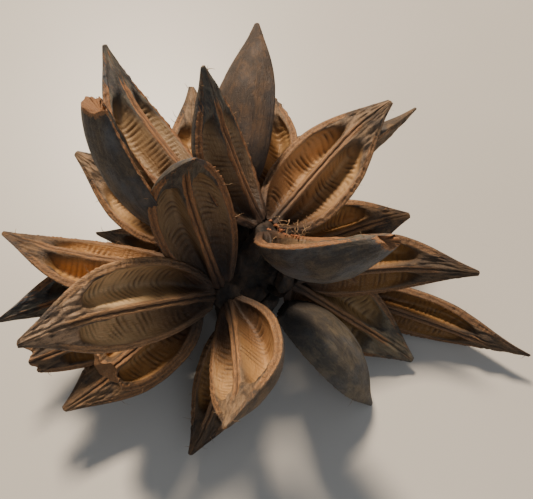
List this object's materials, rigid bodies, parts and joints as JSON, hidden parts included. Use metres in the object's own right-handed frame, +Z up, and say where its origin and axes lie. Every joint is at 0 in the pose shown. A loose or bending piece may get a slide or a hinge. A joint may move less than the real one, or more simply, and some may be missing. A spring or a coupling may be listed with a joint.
{
  "type": "dried seed pod cluster",
  "caption": "Dried woody seed head: split, boat-shaped pod valves with ladder-marked hollows, set in cups on short stalks all round a cut stem.",
  "frame": {"origin": "centre of the cut face of the stem, which the head stands on", "axes": "+Z up the stem, +X along the widest spread of the pods, +Y away from the side that the picture was taken from"},
  "size_m": [0.3019, 0.2316, 0.184],
  "materials": {
    "stem_wood": "rough dry fibrous wood",
    "cup_wood": "rough dry bark",
    "valve_brown": "dry wood, satin hollows, fibrous tan rims and dark mottled backs",
    "valve_grey": "weathered grey-brown dry wood, satin hollows",
    "valve_dark": "dark brown dry wood with torn fibrous edges"
  },
  "bodies": {
    "root": {"pod_a_cup": "cup_wood", "pod_b_cup": "cup_wood", "pod_c_cup": "cup_wood", "pod_d_cup": "cup_wood", "pod_e_cup": "cup_wood", "pod_f_cup": "cup_wood", "pod_g_cup": "cup_wood", "pod_h_cup": "cup_wood", "pod_i_cup": "cup_wood", "pod_j_cup": "cup_wood", "pod_k_cup": "cup_wood", "pod_l_cup": "cup_wood", "pod_m_cup": "cup_wood", "pod_n_cup": "cup_wood", "pod_o_cup": "cup_wood", "pod_p_cup": "cup_wood", "stem": "stem_wood", "pod_a_valve_1": "valve_brown", "pod_a_valve_2": "valve_brown", "pod_a_valve_3": "valve_brown", "pod_b_valve_1": "valve_brown", "pod_b_valve_2": "valve_brown", "pod_b_valve_3": "valve_brown", "pod_c_valve_1": "valve_brown", "pod_c_valve_2": "valve_brown", "pod_d_valve_1": "valve_brown", "pod_d_valve_2": "valve_brown", "pod_e_valve_1": "valve_brown", "pod_e_valve_2": "valve_brown", "pod_f_valve_1": "valve_grey", "pod_f_valve_2": "valve_grey", "pod_g_valve_1": "valve_brown", "pod_h_valve_1": "valve_dark", "pod_h_valve_2": "valve_dark", "pod_h_valve_3": "valve_dark", "pod_i_valve_1": "valve_dark", "pod_j_valve_1": "valve_brown", "pod_k_valve_1": "valve_grey", "pod_l_valve_1": "valve_dark", "pod_m_valve_1": "valve_brown", "pod_m_valve_2": "valve_brown", "pod_n_valve_1": "valve_brown", "pod_n_valve_2": "valve_brown", "pod_n_valve_3": "valve_brown", "pod_o_valve_1": "valve_brown", "pod_o_valve_2": "valve_brown", "pod_o_valve_3": "valve_brown", "pod_p_valve_1": "valve_dark", "pod_p_valve_2": "valve_dark"}
  },
  "joints": []
}
